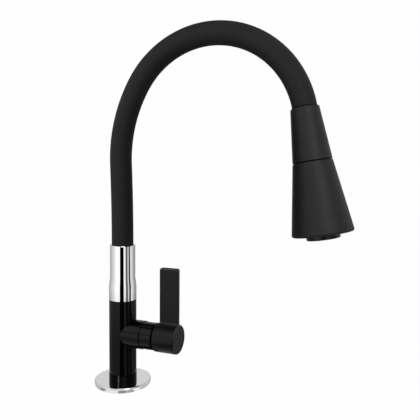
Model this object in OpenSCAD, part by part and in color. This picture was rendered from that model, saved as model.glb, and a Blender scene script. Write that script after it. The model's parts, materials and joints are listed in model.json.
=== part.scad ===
// Deck-mounted kitchen tap: one quarter-turn valve on the side of a slim round body,
// a turning spout with a bendable sleeved neck, and a two-mode conical spray head.
// Millimetres, +Z up.  The origin is the centre of the flange's underside, where the
// mounting shank leaves it.  +X is the handle's axis, and the spout points along it.

/* [Deck fixing] */
// Outside diameter of the pipe thread on the shank
thread_d = 20.96; // [18:0.02:22]
// Waterway through the shank
shank_bore_d = 13; // [9:0.5:14]
// Length of the shank below the deck's top face
shank_drop = 52; // [48:1:90]
// Thickness of the worktop that the nut is set for
deck_t = 30; // [6:1:32]
// Outside diameter of the two washers under the worktop
washer_d = 34; // [30:1:44]
// Thickness of the rubber washer
rubber_washer_t = 3; // [2:0.5:4]
// Thickness of the steel washer
steel_washer_t = 1.5; // [1:0.5:2]
// Lock nut, across its flats
nut_af = 27; // [26:1:34]
// Height of the lock nut
nut_h = 8; // [6:1:9]

/* [Flange and trim ring] */
// Diameter of the chromed flange
flange_d = 62; // [52:1:80]
// Thickness of the flange
flange_t = 5.3; // [4:0.1:8]
// Rounding of the flange's upper edge
flange_round = 1.2; // [0.5:0.1:2]
// Depth of the groove for the foam seal under the flange
seal_t = 1.6; // [1:0.1:2]
// Width of the foam seal
seal_w = 7; // [4:0.5:9]
// Height of the black trim ring on the flange
trim_h = 7.7; // [5:0.1:14]
// How far the trim ring stands out past the body
trim_step = 0.3; // [0.2:0.05:1.5]

/* [Body] */
// Diameter of the body
body_d = 30; // [29:0.5:36]
// Height of the handle's axis above the deck
handle_h = 57.2; // [52:0.1:75]
// Height of the body's top face above the handle's axis
upper_l = 37.3; // [34:0.1:70]
// Diameter of the valve boss on the side of the body
boss_d = 30.8; // [30.2:0.2:34]
// Length over which the boss swells to its full diameter, from the body's axis
boss_swell_l = 20; // [14:0.5:24]
// How much slimmer than the body the boss is at the body's axis
boss_waist = 2.4; // [0.4:0.2:3]
// Distance of the boss's end face from the body's axis
boss_reach = 27.8; // [26:0.1:30]
// Wall between the valve chamber and the spout's socket
valve_roof = 2.8; // [2:0.1:6]

/* [Valve] */
// Bore of the valve chamber
chamber_d = 21; // [20.4:0.1:22]
// Diameter of the ceramic discs
disc_d = 16.4; // [14:0.2:16.6]
// Thickness of each ceramic disc
disc_t = 2.5; // [2:0.1:3]
// Diameter of the valve stem
stem_d = 7.2; // [6:0.1:8]
// Angle of each opening in the discs
port_angle = 70; // [50:1:80]
// Cord of the small O-rings
small_cord = 1.8; // [1.4:0.1:2]

/* [Bonnet ring and handle] */
// Diameter of the bonnet ring
bonnet_d = 29.4; // [28:0.2:30]
// Length of the bonnet ring, from the boss to the handle's gap
bonnet_l = 13.8; // [13:0.1:18]
// Gap between the bonnet ring and the handle
handle_gap = 2.1; // [0.4:0.1:2.5]
// Diameter of the handle's hub
hub_d = 31.2; // [29:0.1:34]
// Length of the handle's hub
hub_l = 25.1; // [24:0.1:34]
// Thickness of the lever blade
blade_t = 4.4; // [3:0.1:7]
// Width of the lever blade
blade_w = 21.4; // [14:0.2:22]
// Height of the blade's tip above the handle's axis
blade_reach = 76.3; // [50:0.5:110]
// Corner radius of the blade's tip
blade_corner = 2.2; // [0.5:0.1:5]
// Fillet where the blade meets the hub, on both faces and on its inner edge
blade_fillet = 2.4; // [1:0.1:4]
// Diameter of the handle's set screw
set_screw_d = 5; // [4:0.5:6]

/* [Spout socket and collar] */
// Diameter of the swivel nipple in the body
nipple_d = 18.6; // [16:0.1:20]
// Cord of the nipple's O-rings
nipple_cord = 2.4; // [1.8:0.1:2.6]
// Diameter of the retaining screw in the back of the body
swivel_screw_d = 4; // [3:0.5:5]
// Running gap between the body and the collar
swivel_gap = 0.3; // [0.2:0.05:0.6]
// Length of the chromed collar
collar_l = 60.7; // [50:0.5:90]
// Diameter of the collar at its top
collar_top_d = 27.7; // [26.6:0.1:29]
// Diameter of the collar at its foot
collar_foot_d = 30.2; // [29:0.1:34]
// Height of the collar's straight foot
collar_foot_l = 13.5; // [8:0.5:20]
// Length of the collar's curved shoulder
shoulder_l = 13; // [8:0.5:20]

/* [Neck] */
// Outside diameter of the silicone sleeve
sleeve_d = 23.7; // [23:0.1:24]
// Wall of the silicone sleeve
sleeve_wall = 1.9; // [1.5:0.1:2]
// Outside diameter of the stay-put coil tube
coil_tube_d = 19.4; // [18.8:0.1:19.5]
// Wall of the stay-put coil tube
coil_tube_wall = 2.1; // [1.5:0.1:2.4]
// Outside diameter of the water hose
hose_d = 13.2; // [10:0.1:14]
// Wall of the water hose
hose_wall = 2.4; // [1.5:0.1:2.6]
// Length of the neck's rise above the collar
rise_l = 88; // [60:1:140]
// Angle that the rise has leant back by at its top
rise_lean = 2.3; // [0.5:0.1:4]
// Radius of the neck's first, gentle bend
bend_1_r = 151; // [100:1:180]
// Angle of the first bend
bend_1_angle = 33.6; // [20:0.1:45]
// Radius of the crown's bend
bend_2_r = 97; // [80:1:130]
// Angle of the crown's bend
bend_2_angle = 133.7; // [110:0.1:140]
// Radius of the last bend, into the spray head
bend_3_r = 63; // [55:1:120]
// Angle of the last bend
bend_3_angle = 5.5; // [4:0.1:20]

/* [Spray head] */
// Diameter of the head at its top rim
head_top_d = 27.4; // [26.8:0.1:29]
// Diameter of the head at the seam between its two shells
head_seam_d = 37.7; // [37:0.1:42]
// Diameter of the head at its lower rim
head_rim_d = 59.1; // [58:0.1:66]
// Distance of the seam from the top rim
seam_l = 51; // [46:0.5:56]
// Length of the head, from its top rim to its lower rim
head_l = 120.1; // [116:0.1:130]
// Rounding of the lower rim's edge
rim_round = 2; // [0.5:0.1:2]
// Wall of the head's two shells
shell_wall = 2.2; // [1.6:0.1:2.4]
// Gap of the seam
seam_gap = 0.6; // [0.3:0.1:1]
// Diameter of the outlet cup
cup_d = 32; // [28.6:0.2:33]
// How far the outlet cup stands out past the lower rim
cup_out = 4.6; // [3:0.1:8]
// Number of nozzles in the inner ring
nozzles_inner = 18; // [12:1:20]
// Number of nozzles added by each ring outside it
nozzles_step = 6; // [2:1:7]
// Number of rings of nozzles
nozzle_rings = 3; // [1:1:3]
// Diameter of one nozzle
nozzle_d = 2.4; // [1.6:0.1:2.6]

/* [Hidden] */
$fn = 96;

// Clearances
fit = 0.05;        // radial, a running or screwed fit
free = 0.3;        // radial, a piece that only passes through
cut = 1;           // overshoot of a cutting solid past the face it opens
hairline = 0.02;   // between two lengths of one bent tube

// Colours
chrome = "gainsboro";
gloss_black = "#16171a";
matt_black = "#26272a";
brass = "goldenrod";
steel = "silver";
rubber_black = "#1b1b1b";
ceramic = "white";
pom_white = "whitesmoke";

// Shank: the relief parts the tail's thread, for the supply hose, from the nut's
thread_r = thread_d / 2;
nut_z = -deck_t - rubber_washer_t - steel_washer_t - nut_h;
relief_z = max(nut_z - 0.2, 2 - shank_drop);

// Body and waterways
body_r = body_d / 2;
body_top = handle_h + upper_l;
spigot_r = body_r - 2.6;
trim_top = flange_t + trim_h;
shank_up = flange_t + 14.7;
plenum_h = 4;
seat_x = -5;
inlet_x = -8.5;
inlet_r = 3.6;
outlet_x = 6.6;
outlet_r = 4.4;
chamber_r = chamber_d / 2;
disc_port_r = disc_d / 2 - 1.6;
// radius of the boss, from its waist at t = 0 to its full size at t = 1
function boss_r(t) = boss_d / 2 - (boss_d / 2 - body_r + boss_waist / 2) * pow(1 - t, 2);

// Valve stack along the handle's axis, from the seat outwards
seal_1 = seat_x;
disc_1 = seal_1 + 1.6;
disc_2 = disc_1 + disc_t + fit;
driver_x = disc_2 + disc_t;
driver_t = 2.4;
cavity_end = driver_x + driver_t + 5;
cartridge_flange_r = 12.5;
cartridge_neck_r = 8.5;
cartridge_oring_x = 18;
stem_oring_x = 24;
bonnet_seat_t = 3;
neck_end_x = boss_reach + bonnet_l - 2.8;
bonnet_end = boss_reach + bonnet_l;
hub_x = bonnet_end + handle_gap;
hub_end = hub_x + hub_l;
hub_r = hub_d / 2;
hub_wall = 3;
hub_cavity = 13;
stem_end = hub_x + 11;
clip_x = neck_end_x + 0.2;
clip_t = 0.9;
socket_boss_r = 7.2;
screw_x = hub_x + 6.5;
plug_t = 1.6;
blade_margin = 0.4;

// Spout socket
socket_r = nipple_d / 2 + fit;
socket_z = handle_h + chamber_r + valve_roof;
slip_t = 1.7;
slip_r = 13;
collar_z = body_top + swivel_gap;
collar_top = collar_z + collar_l;
shoulder_z = collar_z + collar_foot_l;
nipple_flange_r = 12.4;
nipple_flange_z = body_top + 0.1;
nipple_flange_t = 5.4;
nipple_thread_r = 8;
nipple_thread_l = 10;
barb_l = 12;
coil_grip = 20;
retain_z = body_top - 6;
oring_z = [socket_z + 5, socket_z + 10.5];
water_r = 3.2;

// Neck: a rise that leans back a little, then three bends forward, all in the X-Z plane
sleeve_r = sleeve_d / 2;
coil_r = coil_tube_d / 2;
hose_r = hose_d / 2;
hose_bore_r = hose_r - hose_wall;
rise_r = degrees_of(rise_l, rise_lean);
bend_r = [bend_1_r, bend_2_r, bend_3_r];
bend_a = [bend_1_angle, bend_2_angle, bend_3_angle];
// heading at the start of bend i, in degrees from straight up
function heading(i) = i == 0 ? -rise_lean : heading(i - 1) + bend_a[i - 1];
// centre of bend i, as [x, z]
function centre(i) = start(i) + bend_r[i] * [cos(heading(i)), -sin(heading(i))];
// start of bend i, as [x, z]
function start(i) = i == 0
    ? [rise_r * (cos(rise_lean) - 1), collar_top + rise_r * sin(rise_lean)]
    : centre(i - 1) + bend_r[i - 1] * [-cos(heading(i)), sin(heading(i))];
tip = start(3);
tip_heading = heading(3);
coil_z = nipple_flange_z + nipple_flange_t + nipple_thread_l + 1;
hose_z = coil_z - 1;
sleeve_z = coil_z + coil_grip;

// Spray head, lengths from its top rim along its own axis
head_slope = (head_rim_d - head_seam_d) / 2 / (head_l - seam_l);
neck_slope = (head_seam_d - head_top_d) / 2 / seam_l;
function head_r(l) = l < seam_l ? head_top_d / 2 + neck_slope * l
    : head_seam_d / 2 + head_slope * (l - seam_l);
function bore_r(l) = head_r(l) - shell_wall;
mouth_r = sleeve_r + free;
mouth_l = max(2, (mouth_r + shell_wall - head_top_d / 2) / neck_slope);
edge = 0.5;
core_l = seam_l - 8.8;
tip_flange_t = 3.8;
tip_flange_r = 12;
tip_flange_l = core_l - 0.2 - tip_flange_t;
tip_screw_l = 11;
tip_thread_l = tip_flange_l - 0.2 - tip_screw_l;
hose_tail = tip_thread_l;
coil_tail = hose_tail - 1;
sleeve_tail = coil_tail - 10;
tip_socket_l = sleeve_tail + 0.2;
core_thread_l = 10;
filter_t = 1.6;
core_r = 13.5;
core_tube_r = 9.3;
core_bore_r = 5;
check_valve_r = 6.2;
check_valve_l = 14;
diverter_r = core_tube_r + 3.6;
side_port_r = 1.6;
web_t = 2.4;
seam_lap = 2.6;
seam_ring_l = core_l + 4;
seam_ring_r = bore_r(seam_ring_l) - fit;
face_depth = 12.9;
plate_l = head_l - face_depth;
plate_t = 4;
pocket_l = plate_l + 0.4;
core_end = pocket_l - web_t;
pad_l = plate_l + plate_t + 0.2;
pad_t = 1.9;
face_l = pad_l + pad_t;
face_t = 3.3;
cup_thread_r = 12.4;
cup_bore_r = 11.6;
cup_l = face_l + face_t + 0.2;
cup_end = head_l + cup_out;
nozzle_inner_r = cup_d / 2 + 1.9;
nozzle_outer_r = bore_r(face_l) - 2;
nozzle_gap = (nozzle_outer_r - nozzle_inner_r) / max(1, nozzle_rings - 1);
nozzle_out = 1.4;
mesh_pitch = 2.9;
mesh_hole_r = 0.85;

// ---------------------------------------------------------------- helpers

// points of an arc, for a profile
function arc_pts(c, r, a0, a1, n = 6) =
    [for (i = [0:n]) c + r * [cos(a0 + (a1 - a0) * i / n), sin(a0 + (a1 - a0) * i / n)]];

// a tube standing on its end
module tube(ro, ri, h) {
    difference() {
        cylinder(r = ro, h = h);
        translate([0, 0, -cut]) cylinder(r = ri, h = h + 2 * cut);
    }
}

// angle, in degrees, that an arc of the given length takes at radius r; or the radius at an angle
function degrees_of(arc, r) = arc / r * 180 / PI;

// a tube bent to radius r about the origin, in the X-Z plane, on from angle a over the sweep
module bent_tube(ro, ri, r, a, sweep) {
    rotate([90, 0, 0]) rotate([0, 0, a])
        rotate_extrude(angle = sweep, $fn = 360 / sweep * max(8, sweep / 4))
            translate([r, 0]) difference() {
                circle(r = ro, $fn = 48);
                circle(r = ri, $fn = 48);
            }
}

// an O-ring lying flat, centred on its cord
module oring(r, cord) {
    rotate_extrude() translate([r, 0]) circle(d = cord, $fn = 24);
}

// the groove that an O-ring lies in, cut into a shaft of radius r
module oring_groove(r, cord) {
    translate([0, 0, -cord * 0.6]) tube(r + cut, r - cord, cord * 1.2);
}

// children drawn along +Z are laid along the handle's axis, from x outwards
module along_handle(x) {
    translate([x, 0, handle_h]) rotate([0, 90, 0]) children();
}

// children drawn along +Z are laid along the spray head's axis, from l outwards
module along_head(l) {
    translate([tip.x + l * sin(tip_heading), 0, tip.y + l * cos(tip_heading)])
        rotate([0, tip_heading, 0]) children();
}

// a tube that follows the neck from height z to a straight tail inside the head;
// a hairline between its lengths keeps every bend an exact solid of its own
module neck_tube(ro, ri, z, tail) {
    translate([0, 0, z]) tube(ro, ri, collar_top - hairline - z);
    translate([-rise_r, 0, collar_top]) bent_tube(ro, ri, rise_r, 0, rise_lean);
    for (i = [0:2])
        translate([centre(i).x, 0, centre(i).y])
            bent_tube(ro, ri, bend_r[i], 180 - heading(i + 1),
                bend_a[i] - degrees_of(hairline, bend_r[i]));
    along_head(hairline) tube(ro, ri, tail - hairline);
}

// two facing openings between radii ri and ro, as in the discs of a quarter-turn valve
module twin_ports(ro, ri, h, turn) {
    for (side = [0, 180])
        rotate([0, 0, side + turn]) intersection() {
            translate([0, 0, -cut]) tube(ro, ri, h + 2 * cut);
            translate([0, 0, -cut]) linear_extrude(h + 2 * cut) polygon([
                [0, 0],
                2 * ro * [cos(port_angle / 2), -sin(port_angle / 2)],
                2 * ro * [cos(port_angle / 2), sin(port_angle / 2)]
            ]);
        }
}

// ---------------------------------------------------------------- deck fixing

module base_flange() {
    seal_r = flange_d / 2 - 2.5;
    color(chrome) difference() {
        rotate_extrude() polygon(concat(
            [[thread_r + free, 0], [flange_d / 2 - 0.4, 0], [flange_d / 2, 0.4]],
            arc_pts([flange_d / 2 - flange_round, flange_t - flange_round], flange_round, 0, 90),
            [[thread_r + free, flange_t]]));
        translate([0, 0, -cut]) tube(seal_r, seal_r - seal_w, seal_t + cut);
    }
}

module flange_seal() {
    seal_r = flange_d / 2 - 2.5;
    color(rubber_black) tube(seal_r - fit, seal_r - seal_w + fit, seal_t);
}

module mounting_shank() {
    color(brass) difference() {
        rotate_extrude() polygon([
            [0, -shank_drop], [thread_r - 1, -shank_drop], [thread_r, 1 - shank_drop],
            [thread_r, relief_z - 0.8], [thread_r - 0.5, relief_z - 0.8],
            [thread_r - 0.5, relief_z], [thread_r, relief_z],
            [thread_r, 0], [thread_r - 0.5, 0.3], [thread_r - 0.5, flange_t],
            [thread_r, flange_t + 0.5], [thread_r, shank_up], [0, shank_up]
        ]);
        translate([0, 0, -shank_drop - cut])
            cylinder(d = shank_bore_d, h = shank_drop + shank_up + 2 * cut);
    }
}

module rubber_washer() {
    color(rubber_black) translate([0, 0, -deck_t - rubber_washer_t])
        tube(washer_d / 2, thread_r + fit, rubber_washer_t);
}

module steel_washer() {
    color(steel) translate([0, 0, -deck_t - rubber_washer_t - steel_washer_t])
        tube(washer_d / 2, thread_r + free, steel_washer_t);
}

module lock_nut() {
    color(brass) translate([0, 0, nut_z]) difference() {
        intersection() {
            cylinder(d = nut_af / cos(30), h = nut_h, $fn = 6);
            rotate_extrude() polygon([
                [0, 0], [nut_af / 2, 0], [nut_af * 0.6, 1.5], [nut_af * 0.6, nut_h], [0, nut_h]
            ]);
        }
        translate([0, 0, -cut]) cylinder(r = thread_r + fit, h = nut_h + 2 * cut);
    }
}

// ---------------------------------------------------------------- body

module trim_ring() {
    trim_r = body_r + trim_step;
    color(gloss_black) rotate_extrude() polygon(concat(
        [[spigot_r + fit, flange_t], [trim_r - 0.3, flange_t], [trim_r, flange_t + 0.3]],
        arc_pts([trim_r - trim_step, trim_top - trim_step], trim_step, 0, 90, 3),
        [[spigot_r + fit, trim_top]]));
}

module tap_body() {
    color(gloss_black) difference() {
        union() {
            translate([0, 0, flange_t]) cylinder(r = spigot_r, h = trim_h + cut);
            translate([0, 0, trim_top]) cylinder(r = body_r, h = body_top - trim_top);
            along_handle(0) rotate_extrude() polygon(concat(
                [[0, 0]],
                [for (i = [0:6]) [boss_r(i / 6), boss_swell_l * i / 6]],
                [[boss_r(1), boss_reach - 0.5], [boss_r(1) - 0.5, boss_reach], [0, boss_reach]]));
        }
        // shank thread, plenum above it, and the way up to the valve seat
        translate([0, 0, flange_t - cut])
            cylinder(r = thread_r + fit, h = shank_up - flange_t + cut + fit);
        translate([0, 0, shank_up]) cylinder(r = thread_r - 1.2, h = plenum_h);
        translate([inlet_x, 0, shank_up]) cylinder(r = inlet_r, h = handle_h - shank_up);
        along_handle(inlet_x) cylinder(r = inlet_r, h = seat_x - inlet_x + cut);
        // valve chamber, the way up from it, and the spout's socket
        along_handle(seat_x) cylinder(r = chamber_r, h = boss_reach - seat_x + cut);
        translate([outlet_x, 0, handle_h]) cylinder(r = outlet_r, h = socket_z - handle_h + cut);
        translate([0, 0, socket_z]) cylinder(r = socket_r, h = body_top - socket_z + cut);
        translate([0, 0, body_top - slip_t]) cylinder(r = slip_r + fit, h = slip_t + cut);
        translate([0, 0, retain_z]) rotate([0, -90, 0])
            cylinder(r = swivel_screw_d / 2 + fit, h = body_r + cut);
    }
}

module slip_ring() {
    color(pom_white) translate([0, 0, body_top - slip_t]) tube(slip_r, socket_r + fit, slip_t);
}

module swivel_screw() {
    tip_r = nipple_d / 2 - 1.3 + free;
    color(steel) translate([0, 0, retain_z]) rotate([0, -90, 0]) difference() {
        translate([0, 0, tip_r]) cylinder(d = swivel_screw_d, h = body_r - 0.6 - tip_r);
        translate([0, 0, body_r - 2.6]) cylinder(d = swivel_screw_d * 0.55, h = 2 + cut, $fn = 6);
    }
}

// ---------------------------------------------------------------- valve

module seat_seal() {
    color(rubber_black) along_handle(seal_1) tube(disc_d / 2 - 0.2, disc_port_r, disc_1 - seal_1);
}

module fixed_disc() {
    color(ceramic) along_handle(disc_1) difference() {
        cylinder(d = disc_d, h = disc_t);
        twin_ports(disc_port_r, 1.7, disc_t, 0);
    }
}

module moving_disc() {
    color(ceramic) along_handle(disc_2) difference() {
        cylinder(d = disc_d, h = disc_t);
        twin_ports(disc_port_r, 1.7, disc_t, 90);
    }
}

module cartridge_body() {
    cartridge_r = chamber_r - fit;
    color(brass) along_handle(0) difference() {
        union() {
            translate([0, 0, disc_1]) cylinder(r = cartridge_r, h = boss_reach - disc_1);
            translate([0, 0, boss_reach]) cylinder(r = cartridge_flange_r, h = bonnet_seat_t);
            translate([0, 0, boss_reach]) cylinder(r = cartridge_neck_r, h = neck_end_x - boss_reach);
        }
        // room for the discs, and the bore for the stem
        translate([0, 0, disc_1 - cut]) cylinder(r = disc_d / 2 + fit, h = cavity_end - disc_1 + cut);
        translate([0, 0, cavity_end - cut])
            cylinder(r = stem_d / 2 + fit, h = neck_end_x - cavity_end + 2 * cut);
        // windows that let the water out, up and down
        translate([-chamber_r - cut, -3.5, outlet_x - 1.7]) cube([2 * (chamber_r + cut), 7, 3.4]);
        translate([0, 0, cartridge_oring_x]) oring_groove(cartridge_r, small_cord);
    }
}

module cartridge_oring() {
    color(rubber_black) along_handle(cartridge_oring_x)
        oring(chamber_r - small_cord / 2 - fit / 2, small_cord);
}

module valve_stem() {
    color(steel) along_handle(0) difference() {
        union() {
            translate([0, 0, driver_x]) cylinder(r = disc_d / 2 - 0.6, h = driver_t);
            translate([0, 0, driver_x]) cylinder(d = stem_d, h = neck_end_x + 2 - driver_x);
            translate([0, 0, neck_end_x]) cylinder(d = stem_d - 0.6, h = stem_end - neck_end_x, $fn = 12);
        }
        translate([0, 0, stem_oring_x]) oring_groove(stem_d / 2, small_cord);
        translate([0, 0, clip_x]) tube(stem_d, stem_d / 2 - 0.6, clip_t);
        // the driver's own ports, over those of the moving disc
        translate([0, 0, driver_x]) twin_ports(disc_port_r, stem_d / 2 + 0.4, driver_t, 90);
    }
}

module stem_oring() {
    color(rubber_black) along_handle(stem_oring_x)
        oring(stem_d / 2 - small_cord / 2 + fit / 2, small_cord);
}

module stem_clip() {
    color(steel) along_handle(clip_x) difference() {
        translate([0, 0, fit]) cylinder(r = stem_d / 2 + 1.9, h = clip_t - 2 * fit);
        translate([0, 0, -cut]) cylinder(r = stem_d / 2 - 0.6 + fit, h = clip_t + 2 * cut);
        translate([0, -1.6, -cut]) cube([stem_d * 2, 3.2, clip_t + 2 * cut]);
    }
}

module bonnet_ring() {
    bonnet_r = bonnet_d / 2;
    hole_r = stem_d / 2 + 2.6;
    seat_r = cartridge_flange_r + fit;
    bore_r = cartridge_neck_r + fit;
    color(gloss_black) along_handle(boss_reach) rotate_extrude() polygon([
        [seat_r, 0], [bonnet_r - 0.4, 0], [bonnet_r, 0.4], [bonnet_r, bonnet_l - 0.4],
        [bonnet_r - 0.4, bonnet_l], [hole_r, bonnet_l], [hole_r, bonnet_l - 2.4],
        [bore_r, bonnet_l - 2.4], [bore_r, bonnet_seat_t + fit], [seat_r, bonnet_seat_t + fit]
    ]);
}

// ---------------------------------------------------------------- handle

// outline of the blade, seen along Y: foot inside the hub, rounded upper corners
module blade_outline() {
    x0 = hub_end - blade_margin - blade_w;
    z1 = handle_h + blade_reach;
    translate([x0, handle_h + hub_r - 4]) square([blade_w, blade_reach - hub_r + 4 - blade_corner]);
    translate([x0 + blade_corner, z1 - 2 * blade_corner])
        square([blade_w - 2 * blade_corner, 2 * blade_corner]);
    for (x = [x0 + blade_corner, x0 + blade_w - blade_corner])
        translate([x, z1 - blade_corner]) circle(r = blade_corner, $fn = 48);
}

// a strip from a to b, flared at height z by the blade's fillet at a, and at b too if both
module flared_outline(a, b, z, both) {
    f = blade_fillet;
    difference() {
        translate([a - f, z - 1.2]) square([b - a + (both ? 2 : 1) * f, f + 1.2]);
        translate([a - f, z + f]) circle(r = f, $fn = 48);
        if (both) translate([b + f, z + f]) circle(r = f, $fn = 48);
    }
}

// the flared foot of the blade: the outlines seen along X and along Y, crossed
module blade_foot() {
    half = blade_t / 2 + blade_fillet;
    foot_z = sqrt(hub_r * hub_r - half * half);
    x0 = hub_end - blade_margin - blade_w;
    translate([0, 0, handle_h]) intersection() {
        translate([x0 - blade_fillet, 0, 0]) rotate([90, 0, 90]) linear_extrude(blade_w + blade_fillet)
            flared_outline(-blade_t / 2, blade_t / 2, foot_z, true);
        translate([0, half, 0]) rotate([90, 0, 0]) linear_extrude(2 * half)
            flared_outline(x0, x0 + blade_w, hub_r - 0.3, false);
    }
}

module lever_handle() {
    color(matt_black) difference() {
        union() {
            along_handle(hub_x) rotate_extrude() polygon([
                [0, 0], [hub_r - 0.4, 0], [hub_r, 0.4], [hub_r, hub_l - 0.7],
                [hub_r - 0.7, hub_l], [0, hub_l]
            ]);
            translate([0, blade_t / 2, 0]) rotate([90, 0, 0]) linear_extrude(blade_t) blade_outline();
            blade_foot();
        }
        // hollow around the socket for the stem
        along_handle(hub_x - cut) tube(hub_r - hub_wall, socket_boss_r, hub_cavity + cut);
        along_handle(hub_x - cut) cylinder(r = socket_boss_r + cut, h = 2.2 + cut);
        along_handle(hub_x - cut)
            cylinder(d = stem_d - 0.6 + 2 * fit, h = stem_end - hub_x + cut + free, $fn = 12);
        // set screw from below, with a wider mouth for its plug
        translate([screw_x, 0, handle_h - hub_r - cut])
            cylinder(r = set_screw_d / 2 + fit, h = hub_r + cut - stem_d / 4);
        translate([screw_x, 0, handle_h - hub_r - cut])
            cylinder(r = set_screw_d / 2 + 0.6, h = plug_t + cut + 0.4);
    }
}

module handle_screw() {
    top = stem_d / 2 - 0.3 + fit;
    length = hub_r - plug_t - 1.2 - top;
    color(steel) translate([screw_x, 0, handle_h - top - length]) difference() {
        cylinder(d = set_screw_d, h = length);
        translate([0, 0, -cut]) cylinder(d = set_screw_d * 0.55, h = 2 + cut, $fn = 6);
    }
}

module screw_plug() {
    color(matt_black) translate([screw_x, 0, handle_h - hub_r + 0.25])
        cylinder(r = set_screw_d / 2 + 0.6 - fit, h = plug_t - 0.1);
}

// ---------------------------------------------------------------- spout

module swivel_nipple() {
    r = nipple_d / 2;
    foot = socket_z + 1;
    flange_end = nipple_flange_z + nipple_flange_t;
    thread_end = flange_end + nipple_thread_l;
    color(brass) difference() {
        rotate_extrude() polygon([
            [0, foot], [r - 0.8, foot], [r, foot + 0.8], [r, nipple_flange_z],
            [nipple_flange_r, nipple_flange_z], [nipple_flange_r, flange_end],
            [nipple_thread_r, flange_end], [nipple_thread_r, thread_end],
            [hose_bore_r - fit, thread_end], [hose_bore_r - fit, thread_end + barb_l - 0.8],
            [hose_bore_r - 0.6, thread_end + barb_l], [0, thread_end + barb_l]
        ]);
        translate([0, 0, foot - cut]) cylinder(r = water_r, h = thread_end + barb_l - foot + 2 * cut);
        for (z = oring_z) translate([0, 0, z]) oring_groove(r, nipple_cord);
        translate([0, 0, retain_z - swivel_screw_d / 2 - free])
            tube(r + cut, r - 1.3, swivel_screw_d + 2 * free);
    }
}

module nipple_orings() {
    color(rubber_black) for (z = oring_z) translate([0, 0, z])
        oring(nipple_d / 2 - nipple_cord / 2 + fit / 2, nipple_cord);
}

module spout_collar() {
    top_r = collar_top_d / 2;
    foot_r = collar_foot_d / 2;
    steps = 10;
    shoulder = [for (i = [0:steps])
        [foot_r + (top_r - foot_r) * (1 - cos(180 * i / steps)) / 2, shoulder_z + shoulder_l * i / steps]];
    wide_top = nipple_flange_z + nipple_flange_t + 1;
    color(chrome) rotate_extrude() polygon(concat(
        [[nipple_flange_r + fit, collar_z], [foot_r - 0.3, collar_z], [foot_r, collar_z + 0.3]],
        shoulder,
        arc_pts([top_r - 0.6, collar_top - 0.6], 0.6, 0, 90, 4),
        [[sleeve_r + 0.25, collar_top], [sleeve_r + 0.25, wide_top], [nipple_flange_r + fit, wide_top]]));
}

module neck_socket() {
    z0 = nipple_flange_z + nipple_flange_t + 0.1;
    z1 = sleeve_z - 0.2;
    color(brass) translate([0, 0, z0]) difference() {
        cylinder(r = sleeve_r, h = z1 - z0);
        translate([0, 0, -cut]) cylinder(r = nipple_thread_r + fit, h = z1 - z0 + 2 * cut);
        translate([0, 0, coil_z - z0]) cylinder(r = coil_r + fit, h = z1 - coil_z + cut);
    }
}

module neck_sleeve() {
    color(matt_black) neck_tube(sleeve_r, sleeve_r - sleeve_wall, sleeve_z, sleeve_tail);
}

module coil_tube() {
    color(steel) neck_tube(coil_r, coil_r - coil_tube_wall, coil_z, coil_tail);
}

module water_hose() {
    color(pom_white) neck_tube(hose_r, hose_bore_r, hose_z, hose_tail);
}

// ---------------------------------------------------------------- spray head, fixed part

module tip_socket() {
    h = tip_thread_l + tip_screw_l - tip_socket_l;
    color(brass) along_head(tip_socket_l) difference() {
        cylinder(r = sleeve_r - 0.3, h = h);
        translate([0, 0, -cut]) cylinder(r = nipple_thread_r + fit, h = h + 2 * cut);
        translate([0, 0, -cut]) cylinder(r = coil_r + fit, h = coil_tail - tip_socket_l + cut + free);
    }
}

module spray_nipple() {
    barb = hose_bore_r - fit;
    color(brass) along_head(0) difference() {
        rotate_extrude() polygon([
            [0, tip_thread_l - barb_l], [barb - 0.6, tip_thread_l - barb_l],
            [barb, tip_thread_l - barb_l + 0.8], [barb, tip_thread_l + 0.2],
            [nipple_thread_r, tip_thread_l + 0.2], [nipple_thread_r, tip_flange_l],
            [tip_flange_r, tip_flange_l], [tip_flange_r, tip_flange_l + tip_flange_t],
            [thread_r, tip_flange_l + tip_flange_t], [thread_r, core_l + core_thread_l - 0.6],
            [thread_r - 0.6, core_l + core_thread_l], [0, core_l + core_thread_l]
        ]);
        translate([0, 0, tip_thread_l - barb_l - cut])
            cylinder(r = water_r, h = core_l + core_thread_l - tip_thread_l + barb_l + 2 * cut);
    }
}

module filter_washer() {
    color(rubber_black) along_head(core_l + core_thread_l + 0.1)
        tube(thread_r - free, core_bore_r, filter_t);
}

module head_core() {
    socket_end = core_l + core_thread_l + filter_t + 0.2;
    color(pom_white) along_head(0) difference() {
        rotate_extrude() polygon([
            [0, core_l], [core_r, core_l], [core_r, socket_end + 3],
            [core_tube_r, socket_end + 3 + core_r - core_tube_r],
            [core_tube_r, core_end - 0.6], [core_tube_r - 0.6, core_end], [0, core_end]
        ]);
        translate([0, 0, core_l - cut]) cylinder(r = thread_r + fit, h = socket_end - core_l + cut);
        translate([0, 0, socket_end - cut]) cylinder(r = check_valve_r + 0.1, h = check_valve_l + 3 + cut);
        translate([0, 0, socket_end]) cylinder(r = core_bore_r, h = core_end - web_t - socket_end);
        translate([0, 0, core_end - 4.4]) oring_groove(core_tube_r, small_cord);
        // the end wall's ports feed the aerator, the side ports the ring of nozzles
        translate([0, 0, core_end - web_t]) twin_ports(core_bore_r, 1.4, web_t, 0);
        side_ports(0);
    }
}

// a pair of ports through the core's or the diverter's side
module side_ports(turn) {
    translate([0, 0, core_end - 10]) rotate([0, 0, turn]) rotate([0, 90, 0])
        cylinder(r = side_port_r, h = 2 * (diverter_r + cut), center = true);
}

module check_valve() {
    color(pom_white) along_head(core_l + core_thread_l + filter_t + 0.3)
        tube(check_valve_r, 3.4, check_valve_l);
}

module core_oring() {
    color(rubber_black) along_head(core_end - 4.4)
        oring(core_tube_r - small_cord / 2 + fit / 2, small_cord);
}

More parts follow.
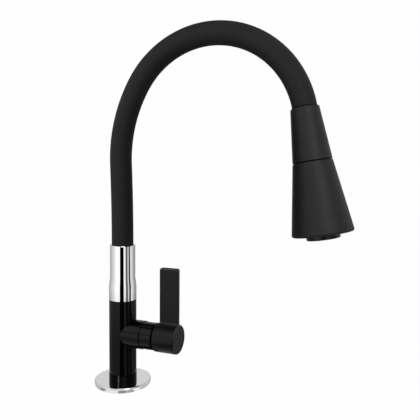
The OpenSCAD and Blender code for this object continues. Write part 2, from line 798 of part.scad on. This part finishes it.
module upper_shell() {
    end = seam_l - seam_gap / 2;
    seat = core_l + 1.2;
    color(matt_black) along_head(0) rotate_extrude() polygon(concat(
        [[mouth_r, 0]],
        arc_pts([head_top_d / 2 - edge, edge], edge, -90, 0, 4),
        [[head_r(end - 0.5), end - 0.5], [head_r(end) - 0.5, end], [bore_r(end), end],
         [bore_r(seat + 2.5), seat + 2.5], [core_r + fit, seat + 2.5], [core_r + fit, seat],
         [bore_r(seat - 2), seat - 2], [mouth_r, mouth_l]]));
}

module seam_ring() {
    color(rubber_black) along_head(seam_ring_l)
        tube(seam_ring_r, core_r + fit, seam_l + seam_lap - seam_ring_l);
}

// ---------------------------------------------------------------- spray head, turning part

module bell_shell() {
    start = seam_l + seam_gap / 2;
    lip = start + seam_lap;
    round_r = min(rim_round, shell_wall - 0.2);
    color(matt_black) along_head(0) rotate_extrude() polygon(concat(
        [[seam_ring_r + fit, start], [head_r(start) - 0.5, start], [head_r(start + 0.5), start + 0.5],
         [head_r(head_l - round_r), head_l - round_r]],
        arc_pts([head_r(head_l - round_r) - round_r, head_l - round_r], round_r, 0, 90, 6),
        [[bore_r(head_l), head_l], [bore_r(lip + 1.5), lip + 1.5], [seam_ring_r + fit, lip]]));
}

// Turns with the bell: at rest its ports meet those in the core's end wall, and a
// quarter turn on they are shut and the side ports are open.
module diverter() {
    sleeve_l = 22;
    color(pom_white) along_head(0) difference() {
        union() {
            translate([0, 0, plate_l])
                cylinder(r1 = bore_r(plate_l) - fit, r2 = bore_r(plate_l + plate_t) - fit, h = plate_t);
            translate([0, 0, plate_l - sleeve_l]) cylinder(r = diverter_r, h = sleeve_l + cut);
        }
        translate([0, 0, plate_l - sleeve_l - cut])
            cylinder(r = core_tube_r + fit, h = core_end + 0.1 - plate_l + sleeve_l + cut);
        translate([0, 0, pocket_l]) cylinder(r = cup_thread_r + fit, h = plate_t + cut);
        translate([0, 0, core_end]) twin_ports(core_bore_r, 1.4, web_t, 0);
        side_ports(90);
        for (turn = [0:60:300])
            rotate([0, 0, turn]) translate([nozzle_inner_r + nozzle_gap, 0, plate_l - cut])
                cylinder(r = side_port_r, h = plate_t + 2 * cut, $fn = 24);
    }
}

module spray_face() {
    color(gloss_black) along_head(face_l) difference() {
        cylinder(r1 = bore_r(face_l) - fit, r2 = bore_r(face_l + face_t) - fit, h = face_t);
        translate([0, 0, -cut]) cylinder(r = cup_thread_r + 0.2, h = face_t + 2 * cut);
        nozzle_rows() translate([0, 0, -cut])
            cylinder(r = nozzle_d / 2 + 2 * fit, h = face_t + 2 * cut, $fn = 24);
    }
}

// children at every nozzle, ring by ring
module nozzle_rows() {
    for (ring = [0:nozzle_rings - 1], i = [0:nozzles_inner + ring * nozzles_step - 1])
        rotate([0, 0, (i + ring / 2) * 360 / (nozzles_inner + ring * nozzles_step)])
            translate([nozzle_inner_r + ring * nozzle_gap, 0, 0]) children();
}

module nozzle_pad() {
    color("dimgray") along_head(pad_l) {
        tube(bore_r(pad_l) - 0.4, cup_thread_r + 0.6, pad_t);
        nozzle_rows() translate([0, 0, pad_t - 0.5])
            cylinder(d1 = nozzle_d, d2 = nozzle_d - 0.4, h = face_t + nozzle_out + 0.5, $fn = 24);
    }
}

module outlet_cup() {
    r = cup_d / 2;
    color(gloss_black) along_head(0) rotate_extrude() polygon(concat(
        [[cup_bore_r, pocket_l + 0.1], [cup_thread_r, pocket_l + 0.1], [cup_thread_r, cup_l],
         [r - 0.2, cup_l]],
        arc_pts([r - 1, cup_end - 1], 1, 0, 90, 4),
        [[cup_bore_r + 0.5, cup_end], [cup_bore_r, cup_end - 0.5]]));
}

// children on a hexagonal grid out to radius r
module hex_grid(pitch, r) {
    n = ceil(r / pitch);
    for (i = [-n:n], j = [-n:n])
        let (p = pitch * [i + j / 2, j * sqrt(3) / 2])
            if (norm(p) <= r) translate([p.x, p.y, 0]) children();
}

module aerator_insert() {
    l0 = plate_l + 3;
    mesh_l = cup_end - 3.2;
    r = cup_bore_r - fit;
    color(steel) along_head(0) difference() {
        translate([0, 0, l0]) cylinder(r = r, h = mesh_l + 1.6 - l0);
        translate([0, 0, l0 - cut]) cylinder(r = r - 1.6, h = mesh_l - l0 + cut);
        translate([0, 0, mesh_l - cut]) hex_grid(mesh_pitch, r - 2.6)
            cylinder(r = mesh_hole_r, h = 1.6 + 2 * cut, $fn = 24);
    }
}

module aerator_seal() {
    color(rubber_black) along_head(plate_l + 1.2) tube(cup_bore_r - fit, 8.6, 1.7);
}

// ---------------------------------------------------------------- nodes

base_flange();
flange_seal();
mounting_shank();
rubber_washer();
steel_washer();
lock_nut();
trim_ring();
tap_body();
seat_seal();
fixed_disc();
moving_disc();
cartridge_body();
cartridge_oring();
valve_stem();
stem_oring();
stem_clip();
bonnet_ring();
lever_handle();
handle_screw();
screw_plug();
slip_ring();
swivel_screw();
swivel_nipple();
nipple_orings();
spout_collar();
neck_socket();
neck_sleeve();
coil_tube();
water_hose();
tip_socket();
spray_nipple();
filter_washer();
head_core();
check_valve();
upper_shell();
seam_ring();
core_oring();
diverter();
bell_shell();
spray_face();
nozzle_pad();
outlet_cup();
aerator_insert();
aerator_seal();
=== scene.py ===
"""Kitchen tap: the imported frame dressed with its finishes, its bent neck, and a white studio with
lit and black cards for its polished faces."""

import json
import math

import bmesh
import bpy
from mathutils import Matrix, Vector


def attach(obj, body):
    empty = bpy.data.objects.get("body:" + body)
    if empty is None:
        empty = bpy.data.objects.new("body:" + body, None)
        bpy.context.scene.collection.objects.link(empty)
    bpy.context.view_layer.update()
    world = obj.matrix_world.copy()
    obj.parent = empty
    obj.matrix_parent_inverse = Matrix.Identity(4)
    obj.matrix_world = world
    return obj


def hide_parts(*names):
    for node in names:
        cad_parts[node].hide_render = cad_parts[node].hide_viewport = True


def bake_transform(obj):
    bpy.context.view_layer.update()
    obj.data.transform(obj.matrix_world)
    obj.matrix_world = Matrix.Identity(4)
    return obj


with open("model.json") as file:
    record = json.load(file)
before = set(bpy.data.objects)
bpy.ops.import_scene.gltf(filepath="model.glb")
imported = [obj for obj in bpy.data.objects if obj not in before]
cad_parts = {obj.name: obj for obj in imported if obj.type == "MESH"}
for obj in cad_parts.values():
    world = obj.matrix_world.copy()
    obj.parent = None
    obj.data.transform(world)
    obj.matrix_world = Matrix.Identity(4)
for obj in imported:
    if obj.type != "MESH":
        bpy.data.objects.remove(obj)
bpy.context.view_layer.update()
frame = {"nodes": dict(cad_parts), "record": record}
MM = 0.001


# ---------------------------------------------------------------- small tools

def linear(hex_colour):
    """An sRGB hex value as the linear colour that a shader takes."""
    parts = [int(hex_colour[i:i + 2], 16) / 255 for i in (1, 3, 5)]
    return [p / 12.92 if p <= 0.04045 else ((p + 0.055) / 1.055) ** 2.4 for p in parts] + [1.0]


def add(tree, kind, links=(), inputs=(), stops=(), **settings):
    """Adds one node: sets its properties and inputs, links (input, output socket) pairs, and gives
    a colour ramp its (place, colour) stops, in order from 0 to 1."""
    made = tree.nodes.new(kind)
    for name, value in settings.items():
        setattr(made, name, value)
    for name, value in dict(inputs).items():
        made.inputs[name].default_value = value
    for name, socket in dict(links).items():
        tree.links.new(socket, made.inputs[name])
    if stops:
        ramp = made.color_ramp.elements
        ramp[0].color, ramp[1].color = stops[0][1], stops[-1][1]
        for place, colour in stops[1:-1]:
            ramp.new(place).color = colour
    return made


def blank_material(name):
    """A material whose nodes are still to be added."""
    made = bpy.data.materials.new(name)
    made.use_nodes = True
    made.node_tree.nodes.clear()
    return made


def plain_material(name, kind, inputs):
    """A material of one shader, the same all over."""
    made = blank_material(name)
    shader = add(made.node_tree, kind, inputs=inputs)
    add(made.node_tree, "ShaderNodeOutputMaterial", links={"Surface": shader.outputs[0]})
    return made


# the size in millimetres of the patches over which a roughness strays, about that of a fingertip
PATCH = 14


def finish_of(name, colour, roughness, metallic=0.0, specular=0.5, grain=0.0, height=0.0,
              uneven=0.0, edge=0.0):
    """A material with one grain. In millimetres, grain is its size, height its depth and edge how
    far sharp edges are broken. uneven is how far the roughness strays either way."""
    made = blank_material(name)
    tree = made.node_tree
    surface = add(tree, "ShaderNodeBsdfPrincipled", inputs={
        "Base Color": linear(colour), "Metallic": metallic, "Roughness": roughness,
        "Specular IOR Level": specular})
    add(tree, "ShaderNodeOutputMaterial", links={"Surface": surface.outputs["BSDF"]})
    place = add(tree, "ShaderNodeTexCoord").outputs["Object"]
    if grain:
        speckle = add(tree, "ShaderNodeTexNoise", links={"Vector": place},
                      inputs={"Scale": 1 / (grain * MM), "Detail": 3.0, "Roughness": 0.6})
        bump = add(tree, "ShaderNodeBump", links={"Height": speckle.outputs["Fac"]},
                   inputs={"Strength": 1.0, "Distance": height * MM})
        tree.links.new(bump.outputs["Normal"], surface.inputs["Normal"])
        if edge:
            broken = add(tree, "ShaderNodeBevel", samples=8, inputs={"Radius": edge * MM})
            tree.links.new(broken.outputs["Normal"], bump.inputs["Normal"])
    if uneven:
        cloud = add(tree, "ShaderNodeTexNoise", links={"Vector": place},
                    inputs={"Scale": 1 / (PATCH * MM), "Detail": 4.0, "Roughness": 0.55})
        spread = add(tree, "ShaderNodeMapRange", links={"Value": cloud.outputs["Fac"]}, inputs={
            "From Min": 0.3, "From Max": 0.7,
            "To Min": roughness - uneven, "To Max": roughness + uneven})
        tree.links.new(spread.outputs["Result"], surface.inputs["Roughness"])
    return made


# ---------------------------------------------------------------- finishes

# the finish of each material slot of the record
FINISHES = {
    # polished chrome plate: a clean mirror, a little greyer than white
    "polished_chrome": finish_of(
        "mirror chrome plate", "#d9dadb", 0.035, metallic=1.0, uneven=0.012),
    # gloss lacquer over brass: deep black with sharp stripes of light and a trace of orange peel
    "gloss_black": finish_of(
        "gloss black lacquer", "#050506", 0.08, specular=0.15, grain=2.5, height=0.002,
        uneven=0.02),
    # powder coating on the cast lever: the sheen of fine powder, drawn at 0.5 mm so that it shows,
    # over edges that the thickness of the coating softens. The lighter line along its upper edges,
    # added below, is a painted highlight
    "satin_black": finish_of(
        "satin black coating with a painted edge highlight", "#0a0a0b", 0.36, specular=0.165, grain=0.5,
        height=0.006, edge=0.8),
    # moulded ABS with a fine spark-eroded grain, drawn at 0.6 mm so that it shows: soft dark grey
    # lights without an edge
    "matt_black_plastic": finish_of(
        "fine grained black ABS", "#1b1b1c", 0.50, specular=0.20, grain=0.6, height=0.012,
        uneven=0.03),
    # moulded acetal: black with a waxy gloss
    "black_plastic": finish_of(
        "gloss black moulded acetal", "#0b0b0c", 0.30, specular=0.25, grain=3.0, height=0.002,
        uneven=0.03),
    # extruded silicone: soft and matt with a dry bloom, its grain drawn at 0.8 mm so that it shows
    "black_silicone": finish_of(
        "matt black silicone", "#222223", 0.62, specular=0.10, grain=0.8, height=0.010,
        uneven=0.04),
    # moulded silicone of the nozzles: dark grey, soft and a little greasy
    "grey_silicone": finish_of(
        "dark grey soft silicone", "#3c3d3f", 0.55, specular=0.35, grain=0.6, height=0.008,
        uneven=0.05),
    # cured EPDM: flat black with a dusty grain
    "black_rubber": finish_of(
        "matt black rubber", "#18181a", 0.70, specular=0.30, grain=0.7, height=0.02,
        uneven=0.06),
    # natural acetal: milky white with a waxy sheen
    "white_plastic": finish_of(
        "natural acetal", "#e4e4df", 0.42, specular=0.45, grain=1.0, height=0.006, uneven=0.05),
    # lapped alumina: ivory white, flat and smooth enough to shine
    "ceramic": finish_of(
        "lapped alumina ceramic", "#eceae4", 0.22, specular=0.55, grain=0.5, height=0.002,
        uneven=0.03),
    # turned brass, not plated: warm yellow, its tool marks drawn as a 0.5 mm grain
    "brass": finish_of(
        "turned bare brass", "#c9a55a", 0.26, metallic=1.0, grain=0.5, height=0.004, uneven=0.07),
    # turned stainless steel: a soft grey shine, its tool marks drawn as a 0.5 mm grain
    "stainless_steel": finish_of(
        "turned stainless steel", "#b9babc", 0.28, metallic=1.0, grain=0.5, height=0.003,
        uneven=0.06),
}

# two rings have a finish of their own
OWN_FINISHES = {
    # moulded ring under the body: blacker and duller than the lacquer above it
    "trim_ring": finish_of(
        "dull black moulded trim with a painted highlight", "#030303", 0.22, specular=0.03, grain=2.0, height=0.002),
    # ring deep in the seam of the spray head, and the dark ring at the head's mouth: near black
    # with little shine, painted shade that draws them as dark lines
    "seam_ring": finish_of(
        "flat black seal, painted shade", "#030303", 0.60, specular=0.05, grain=0.6, height=0.01),
}

# the trim ring has one lighter upright line, a painted highlight drawn a millimetre wide so that it
# shows. Its places are shares of a turn
tree = OWN_FINISHES["trim_ring"].node_tree
place = add(tree, "ShaderNodeTexCoord").outputs["Object"]
turn = add(tree, "ShaderNodeTexGradient", gradient_type="RADIAL", links={"Vector": place})
painted_highlight = add(tree, "ShaderNodeValToRGB", links={"Fac": turn.outputs["Fac"]}, stops=[
    (spot, linear(colour)) for spot, colour in (
        (0, "#030303"), (0.2762, "#030303"), (0.2851, "#6a6a6c"), (0.2940, "#030303"),
        (1, "#030303"))])
tree.links.new(painted_highlight.outputs["Color"], tree.nodes["Principled BSDF"].inputs["Base Color"])

# a painted highlight: the lever's coating is drawn lighter in a line just under its upper edges, a
# millimetre wide so that it shows, with slightly darker painted shade right at the edge. There a
# normal that is rounded over the edge, within the reach below in millimetres, points further up
# than the face does
EDGE_HIGHLIGHT_REACH = 2.4
tree = FINISHES["satin_black"].node_tree
facing = add(tree, "ShaderNodeNewGeometry").outputs["Normal"]
rounded = add(tree, "ShaderNodeBevel", samples=8, inputs={"Radius": EDGE_HIGHLIGHT_REACH * MM})
tipped = add(tree, "ShaderNodeVectorMath", operation="SUBTRACT",
             links={0: rounded.outputs["Normal"], 1: facing})
upward = add(tree, "ShaderNodeSeparateXYZ", links={"Vector": tipped.outputs[0]})
painted_edge_highlight = add(tree, "ShaderNodeValToRGB", links={"Fac": upward.outputs["Z"]}, stops=[
    (tip, linear(colour)) for tip, colour in (
        (0, "#0a0a0b"), (0.08, "#0a0a0b"), (0.18, "#6a6a6c"), (0.42, "#6a6a6c"),
        (0.52, "#060606"), (1, "#0a0a0b"))])
tree.links.new(painted_edge_highlight.outputs["Color"], tree.nodes["Principled BSDF"].inputs["Base Color"])
# faces that point up are rougher, so that they stay dark under the light from above
level = add(tree, "ShaderNodeSeparateXYZ", links={"Vector": facing})
rougher = add(tree, "ShaderNodeMapRange", links={"Value": level.outputs["Z"]},
              inputs={"From Min": 0.90, "From Max": 0.99, "To Min": 0.36, "To Max": 0.95})
tree.links.new(rougher.outputs["Result"], tree.nodes["Principled BSDF"].inputs["Roughness"])


def dress(piece, slot, finish=None):
    """Gives a piece a material slot of the record, with the slot's finish or one of its own."""
    piece.data.materials.append(finish or FINISHES[slot])


slots = {s["node"]: s["material_slot"] for s in frame["record"]["subparts"]}
for name, part in frame["nodes"].items():
    part.data.materials.clear()
    part.data.materials.append(OWN_FINISHES.get(name) or FINISHES[slots[name]])


# ---------------------------------------------------------------- bent neck

SHARP = math.radians(40)


def mesh_piece(bm, name):
    """Turns a finished bmesh into an object at the origin, smooth but for its sharp edges."""
    bmesh.ops.recalc_face_normals(bm, faces=bm.faces)
    for face in bm.faces:
        face.smooth = True
    for edge in bm.edges:
        edge.smooth = edge.calc_face_angle(0) < SHARP
    mesh = bpy.data.meshes.new(name)
    bm.to_mesh(mesh)
    bm.free()
    piece = bpy.data.objects.new(name, mesh)
    bpy.context.scene.collection.objects.link(piece)
    return piece


# the neck's line above the collar, all in millimetres: (radius, angle) of each bend, the first of
# which leans back a little over its 88 mm
COLLAR_TOP = 155.5
BENDS = [(88 / math.radians(2.3), -2.3), (151.0, 33.6), (97.0, 133.7), (63.0, 5.5)]


def swept_tube(name, outer, wall, foot, tail, sides=64, step=2.0, ribs=0.0):
    """A tube that follows the neck from the height foot to a straight tail in the spray head. Sizes
    are in millimetres: outer is its radius, step the distance between its rings and ribs how deep
    every second ring lies."""
    bm = bmesh.new()
    ring = bmesh.ops.create_circle(bm, segments=sides, radius=outer * MM,
                                   matrix=Matrix.Translation((0, 0, foot * MM)))["verts"]
    edges = list(bm.edges)
    rings = [list(ring)]

    def advance(move):
        """Grows the tube by one ring."""
        nonlocal ring, edges
        grown = bmesh.ops.extrude_edge_only(bm, edges=edges)["geom"]
        ring = [g for g in grown if isinstance(g, bmesh.types.BMVert)]
        edges = [g for g in grown if isinstance(g, bmesh.types.BMEdge)]
        bmesh.ops.transform(bm, matrix=move, verts=ring)
        rings.append(list(ring))

    rise = COLLAR_TOP - foot
    count = max(1, round(rise / step)) if ribs else 6
    for _ in range(count):
        advance(Matrix.Translation((0, 0, rise / count * MM)))
    at, heading = Vector((0, 0, COLLAR_TOP)), 0.0
    for radius, angle in BENDS:
        turn = math.radians(heading)
        side = math.copysign(radius, angle)
        centre = (at + side * Vector((math.cos(turn), 0, -math.sin(turn)))) * MM
        count = max(8, round(math.radians(abs(angle)) * radius / step))
        bite = Matrix.Rotation(math.radians(angle / count), 4, "Y")
        for _ in range(count):
            advance(Matrix.Translation(centre) @ bite @ Matrix.Translation(-centre))
        heading += angle
        end = math.radians(heading)
        at = centre / MM + side * Vector((-math.cos(end), 0, math.sin(end)))
    way = Vector((math.sin(end), 0, math.cos(end)))
    count = max(1, round(tail / step)) if ribs else 2
    for _ in range(count):
        advance(Matrix.Translation(way * (tail / count * MM)))
    if ribs:
        for loop in rings[1:-1:2]:
            middle = sum((v.co for v in loop), Vector()) / len(loop)
            for v in loop:
                v.co = middle + (v.co - middle) * (1 - ribs / outer)
    # the faces point outwards before the wall gets its thickness
    bmesh.ops.recalc_face_normals(bm, faces=bm.faces)
    bmesh.ops.solidify(bm, geom=bm.faces, thickness=wall * MM)
    return mesh_piece(bm, name), at, way


def across_the_bend(piece):
    """Bakes the place of a piece of the neck into its mesh; the bend is already in its shape."""
    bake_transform(piece)


sleeve, neck_end, head_way = swept_tube("silicone_sleeve", outer=11.85, wall=1.9, foot=131.0,
                                        tail=16.0)
dress(sleeve, "black_silicone")
across_the_bend(sleeve)
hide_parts("neck_sleeve")

coil, _, _ = swept_tube("stay_put_coil", outer=9.7, wall=1.9, foot=111.3, tail=26.0, sides=40,
                        step=1.2, ribs=0.35)
dress(coil, "stainless_steel")
across_the_bend(coil)
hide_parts("coil_tube")

hose, _, _ = swept_tube("inner_hose", outer=6.6, wall=2.4, foot=110.3, tail=27.0, sides=40)
dress(hose, "white_plastic")
across_the_bend(hose)
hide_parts("water_hose")


# a thin dark ring at the mouth of the spray head, put there as painted shadow where the neck enters
# the head: its outline is given as (radius, way down into the head) in millimetres
MOUTH_SHADOW_OUTLINE = [(11.7, -1.1), (12.15, -1.1), (12.25, -0.9), (12.25, 0.0), (11.7, 0.0)]
bm = bmesh.new()
corners = [bm.verts.new((out * MM, 0, down * MM)) for out, down in MOUTH_SHADOW_OUTLINE]
outline = [bm.edges.new(pair) for pair in zip(corners, corners[1:] + corners[:1])]
bmesh.ops.spin(bm, geom=corners + outline, cent=(0, 0, 0), axis=(0, 0, 1), angle=2 * math.pi,
               steps=72, use_merge=True)
bmesh.ops.transform(bm, verts=bm.verts, matrix=Matrix.Translation(neck_end * MM)
                    @ head_way.to_track_quat("Z", "Y").to_matrix().to_4x4())
mouth_shadow = mesh_piece(bm, "mouth_shadow_ring")
dress(mouth_shadow, "black_rubber", OWN_FINISHES["seam_ring"])
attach(mouth_shadow, "neck_tip")


# ---------------------------------------------------------------- camera

# it stands before the tap, a little to its right, and looks down on it slightly. Its place is in
# metres, its lens and sensor in millimetres
CAMERA_PLACE = Vector((0.2882, -0.4764, 0.2321))
CAMERA_AZIMUTH = math.radians(21.23)
CAMERA_PITCH = math.radians(3.89)
CAMERA_ROLL = math.radians(0.53)
SENSOR = 36
LENS = 42.857143

ahead = Vector((-math.sin(CAMERA_AZIMUTH) * math.cos(CAMERA_PITCH),
                math.cos(CAMERA_AZIMUTH) * math.cos(CAMERA_PITCH), -math.sin(CAMERA_PITCH)))
right = Vector((math.cos(CAMERA_AZIMUTH), math.sin(CAMERA_AZIMUTH), 0))
up = right.cross(ahead)
camera = bpy.data.objects.new("camera", bpy.data.cameras.new("camera"))
camera.data.sensor_width = SENSOR
camera.data.lens = LENS
camera.data.clip_start = 0.01
aim = Matrix((right, up, -ahead)).transposed().to_4x4()
camera.matrix_world = (Matrix.Translation(CAMERA_PLACE) @ aim
                       @ Matrix.Rotation(CAMERA_ROLL, 4, "Z"))
bpy.context.scene.collection.objects.link(camera)
bpy.context.scene.camera = camera


# ---------------------------------------------------------------- studio

# the front of the studio, seen from the tap's body, in degrees: angles are counted from it to the
# right
FRONT = math.degrees(math.atan2(CAMERA_PLACE.y, CAMERA_PLACE.x))

# the cards that polished faces mirror round the tap, as (angle, brightness): lit walls at both
# sides with strips of black cloth in them, black cloth at the front and grey behind
ROUND_THE_TAP = [
    (-180, 0.40), (-145, 0.55), (-121, 0.66), (-105, 0.83), (-91, 0.97), (-79, 1.08),
    (-68, 1.30), (-57, 1.50), (-25, 1.50), (-23.5, 0.0), (7, 0.0), (9, 1.05), (15, 1.25),
    (21, 1.60), (25, 0.55), (30, 0.13), (38, 0.13), (45, 0.55), (49, 1.20), (52, 1.20),
    (55, 0.10), (69, 0.10), (73, 1.35), (78, 1.25), (88, 1.0), (100, 0.70), (114, 0.48),
    (136, 0.40), (179.9, 0.40)]

# the short card that lies round the flange, as (angle, brightness)
ROUND_THE_FLANGE = [
    (-180, 0.70), (-62, 0.62), (-52, 0.38), (-45, 0.45), (-39, 1.10), (-12, 1.10), (-9, 0.36),
    (5, 0.36), (8, 0.70), (14, 0.48), (22, 0.50), (27, 1.25), (36, 1.25), (42, 0.70),
    (179.9, 0.70)]

# the ceiling cloth, as (share of its reach, brightness), and the high softbox, as (share of its
# height, brightness)
CEILING = [(0.0, 0.0), (0.44, 0.02), (0.67, 0.35), (1.0, 0.86)]
HIGH = [(0.0, 0.9), (0.30, 1.5), (0.80, 1.4), (1.0, 0.8)]

# ramps hold colours up to 1, so a card's are shares of the brightest that it may be
BRIGHTEST = 2.0

# distances from the tap and heights, in metres: a sheet lies on the table from the flange to the
# foot of the walls, and is dimmest within DIMMEST_TO
TABLE_START = 0.045
TABLE_END = 0.5
DIMMEST_TO = 0.12
WALLS_AT = 1.2
WALLS_TOP = 0.36

# where the walls stand, as (name, start, end): the white background shows between them
WALLS = [("card_back_left", -180, -90), ("card_left", -80, -24.2), ("card_front_black", -24.2, 8),
         ("card_front_right", 8, 47.5), ("card_right_black", 53.5, 71.5),
         ("card_back_right", 90, 180)]

# the background's white. FLOOR_SHOWN of the floor's glow, over the little that is left of its
# board, comes to the same
WHITE = 0.991
FLOOR_GLOW = 1.078
FLOOR_SHOWN = 0.9


def looked_at(tree):
    """1 for the rays of the camera, of metal and of glass, 0 for the rest."""
    rays = add(tree, "ShaderNodeLightPath")
    mirrored = add(tree, "ShaderNodeMath", operation="MAXIMUM", links={
        0: rays.outputs["Is Glossy Ray"], 1: rays.outputs["Is Transmission Ray"]})
    either = add(tree, "ShaderNodeMath", operation="MAXIMUM", links={
        0: rays.outputs["Is Camera Ray"], 1: mirrored.outputs[0]})
    return either.outputs[0]


def round_stops(levels):
    """Stops of a radial gradient for (angle from the front, brightness) pairs."""
    stops = sorted((((a + FRONT + 180) % 360) / 360, level) for a, level in levels)
    first, last = stops[0], stops[-1]
    seam = first[1] + (last[1] - first[1]) * first[0] / (first[0] + 1 - last[0])
    return [(0.0, seam)] + stops + [(1.0, seam)]


def card_material(name, kind, levels, low=0.0, high=1.0, near_tap=1.0):
    """A card's brightness by angle (ROUND), or by distance from the tap (OUT) or height (UP) as a
    share of the way from low to high. near_tap is how much of it is left close to the tap."""
    made = blank_material(name)
    tree = made.node_tree
    place = add(tree, "ShaderNodeTexCoord").outputs["Object"]
    if kind == "ROUND":
        levels = round_stops(levels)
        share = add(tree, "ShaderNodeTexGradient", gradient_type="RADIAL",
                    links={"Vector": place}).outputs["Fac"]
    else:
        parts = add(tree, "ShaderNodeSeparateXYZ", links={"Vector": place}).outputs
        way = parts["Z"]
        if kind == "OUT":
            flat = add(tree, "ShaderNodeCombineXYZ", links={"X": parts["X"], "Y": parts["Y"]})
            way = add(tree, "ShaderNodeVectorMath", operation="LENGTH",
                      links={0: flat.outputs["Vector"]}).outputs["Value"]
        share = add(tree, "ShaderNodeMapRange", links={"Value": way},
                    inputs={"From Min": low, "From Max": high}).outputs["Result"]
    shade = add(tree, "ShaderNodeValToRGB", links={"Fac": share}, stops=[
        (spot, [level / BRIGHTEST] * 3 + [1]) for spot, level in levels]).outputs["Color"]
    if near_tap < 1:
        off = add(tree, "ShaderNodeVectorMath", operation="LENGTH", links={0: place})
        left = add(tree, "ShaderNodeMapRange", links={"Value": off.outputs["Value"]}, inputs={
            "From Min": DIMMEST_TO, "From Max": TABLE_END, "To Min": near_tap, "To Max": 1.0})
        shade = add(tree, "ShaderNodeVectorMath", operation="SCALE", links={
            0: shade, "Scale": left.outputs["Result"]}).outputs[0]
    glow = add(tree, "ShaderNodeEmission", links={"Color": shade}, inputs={"Strength": BRIGHTEST})
    add(tree, "ShaderNodeOutputMaterial", links={"Surface": glow.outputs[0]})
    return made


def turned_card(name, profile, start, end, material):
    """A card that stands round the tap: a line of (distance, height) in metres turned from one
    angle to another. Only polished faces see it, so it takes no light from the object."""
    bm = bmesh.new()
    verts = [bm.verts.new((out, 0, rise)) for out, rise in profile]
    edges = [bm.edges.new(pair) for pair in zip(verts, verts[1:])]
    bmesh.ops.rotate(bm, verts=verts, matrix=Matrix.Rotation(math.radians(start + FRONT), 3, "Z"))
    bmesh.ops.spin(bm, geom=verts + edges, cent=(0, 0, 0), axis=(0, 0, 1),
                   angle=math.radians(end - start), steps=max(2, round((end - start) / 3)))
    bmesh.ops.remove_doubles(bm, verts=bm.verts, dist=1e-6)
    card = mesh_piece(bm, name)
    card.data.materials.append(material)
    for rays in ("camera", "diffuse", "transmission", "volume_scatter", "shadow"):
        setattr(card, "visible_" + rays, False)


def flat_card(name, wide, deep, place, material, tilt=0, seen=True):
    """A flat sheet at a place, its sizes in metres, tilted about the y axis by degrees. seen says
    whether the camera sees it."""
    bm = bmesh.new()
    bmesh.ops.create_grid(bm, x_segments=1, y_segments=1, size=0.5)
    bmesh.ops.scale(bm, verts=bm.verts, vec=(wide, deep, 1))
    bmesh.ops.rotate(bm, verts=bm.verts, matrix=Matrix.Rotation(math.radians(tilt), 3, "Y"))
    bmesh.ops.translate(bm, verts=bm.verts, vec=place)
    card = mesh_piece(bm, name)
    card.data.materials.append(material)
    card.visible_camera = seen


def lamp(name, place, aim, size, power):
    """A softbox at a place, turned to face a point."""
    made = bpy.data.objects.new(name, bpy.data.lights.new(name, "AREA"))
    made.data.shape = "RECTANGLE"
    made.data.size, made.data.size_y = size
    made.data.energy = power
    made.location = place
    made.rotation_euler = (Vector(aim) - Vector(place)).to_track_quat("-Z", "Y").to_euler()
    bpy.context.scene.collection.objects.link(made)
    return made


# the floor is mid grey board for the light that bounces off it, and shows white to the camera, to
# metal and to glass, with enough of the board left to keep the object's shadow
board = blank_material("grey board that shows white")
tree = board.node_tree
matt = add(tree, "ShaderNodeBsdfDiffuse", inputs={"Color": linear("#a0a0a0")})
white = add(tree, "ShaderNodeEmission", inputs={"Color": (1, 1, 1, 1), "Strength": FLOOR_GLOW})
shown = add(tree, "ShaderNodeMath", operation="MULTIPLY", links={0: looked_at(tree)},
            inputs={1: FLOOR_SHOWN})
both = add(tree, "ShaderNodeMixShader", links={
    0: shown.outputs[0], 1: matt.outputs[0], 2: white.outputs[0]})
add(tree, "ShaderNodeOutputMaterial", links={"Surface": both.outputs[0]})
flat_card("studio_floor", wide=6.0, deep=6.0, place=(0, 0, -0.0002), material=board)

walls = card_material("lit card and black cloth", "ROUND", ROUND_THE_TAP, near_tap=0.45)
turned_card("table_card", [(TABLE_START, 0.0), (TABLE_END, 0.0)], -180, 180, walls)
for name, start, end in WALLS:
    turned_card(name, [(TABLE_END, 0.0), (WALLS_AT, 0.0), (WALLS_AT, WALLS_TOP)], start, end, walls)
turned_card("card_back_high", [(WALLS_AT, WALLS_TOP), (WALLS_AT, 0.70)], 75, 265,
            plain_material("pale grey card", "ShaderNodeEmission",
                           {"Color": (1, 1, 1, 1), "Strength": 0.86}))
turned_card("foot_card", [(0.0318, 0.0), (0.0385, 0.0)], -180, 180,
            card_material("short card at the foot", "ROUND", ROUND_THE_FLANGE))
turned_card("ceiling_card", [(0.05, 1.0), (1.6, 1.0)], 120, 300,
            card_material("black ceiling cloth", "OUT", CEILING, low=0.0, high=1.6))
turned_card("high_softbox", [(0.87, 0.40), (0.82, 0.55), (0.62, 0.83), (0.48, 0.93)], -117, -3,
            card_material("high softbox cloth", "UP", HIGH, low=0.40, high=0.93))

# a black card keeps the light at the left off the spray head
flat_card("flag_head", wide=0.17, deep=0.14, place=(0.100, -0.015, 0.235), tilt=90, seen=False,
          material=plain_material("matt black card", "ShaderNodeBsdfDiffuse",
                                  {"Color": linear("#050505")}))

# the lit walls stand in for the left softbox in what polished faces mirror
left = lamp("softbox_left", place=(-0.55, -0.50, 0.42), aim=(0.0, 0, 0.15), size=(0.6, 0.6),
            power=1.9)
left.visible_glossy = False
lamp("softbox_front", place=(0.61, -0.79, 0.60), aim=(0.2, 0, 0.25), size=(0.8, 0.4), power=4.3)

# the world lights the tap evenly and shows white to the camera, to metal and to glass
world = bpy.data.worlds.new("white studio")
world.use_nodes = True
tree = world.node_tree
tree.nodes.clear()
around = add(tree, "ShaderNodeBackground", inputs={"Color": linear("#e6e6e6"), "Strength": 0.56})
behind = add(tree, "ShaderNodeBackground", inputs={
    "Color": (WHITE, WHITE, WHITE, 1), "Strength": 1.0})
both = add(tree, "ShaderNodeMixShader", links={
    0: looked_at(tree), 1: around.outputs[0], 2: behind.outputs[0]})
add(tree, "ShaderNodeOutputWorld", links={"Surface": both.outputs[0]})
bpy.context.scene.world = world
bpy.context.scene.view_settings.view_transform = "Standard"
